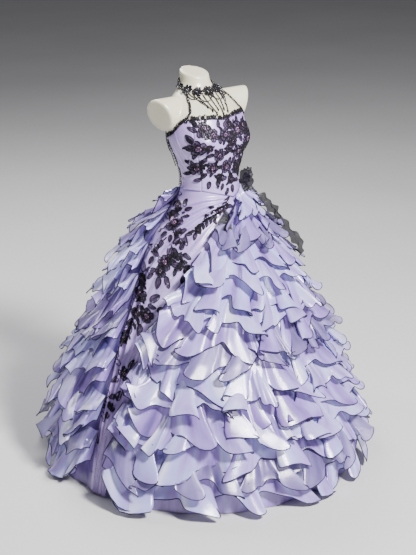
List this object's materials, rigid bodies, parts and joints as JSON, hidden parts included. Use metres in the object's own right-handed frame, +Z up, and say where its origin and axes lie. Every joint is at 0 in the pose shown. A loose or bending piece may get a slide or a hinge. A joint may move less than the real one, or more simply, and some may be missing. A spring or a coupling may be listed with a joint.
{
  "type": "quinceanera ball gown on dress form",
  "caption": "Strapless laced ball gown with black lace, a beaded halter choker and tiers of rippled flounces, worn by a limbless dress form on a pole stand.",
  "frame": {"origin": "middle of the stand's base, on the floor under the pole", "axes": "+Z up; the front of the gown faces -Y; the wearer's left is +X"},
  "size_m": [1.3436, 1.3319, 1.5135],
  "materials": {
    "form_shell": "smooth off-white satin shell",
    "stand_metal": "brushed",
    "satin": "lilac duchess satin, soft sheen",
    "organza": "silvery lilac satin organza with dark rolled edges",
    "black_lace": "corded black lace with purple sequins",
    "black_ribbon": "black satin ribbon",
    "black_organza": "sheer crushed black organza",
    "beads": "polished black faceted beads"
  },
  "bodies": {
    "root": {"form_torso": "form_shell", "form_pole": "stand_metal", "form_base": "stand_metal", "bodice_front": "satin", "bodice_side_left": "satin", "bodice_side_right": "satin", "bodice_back_left": "satin", "bodice_back_right": "satin", "bodice_top_lace": "black_lace", "bodice_lace": "black_lace", "back_lacing": "black_ribbon", "choker": "beads", "strap_left": "beads", "strap_right": "beads", "skirt_base": "satin", "skirt_front_panel": "satin", "panel_lace_1": "black_lace", "panel_lace_2": "black_lace", "panel_lace_3": "black_lace", "flounce_1": "organza", "flounce_2": "organza", "flounce_3": "organza", "flounce_4": "organza", "flounce_5": "organza", "flounce_6": "organza", "flounce_7": "organza", "flounce_8": "organza", "organza_tail": "black_organza"}
  },
  "joints": []
}
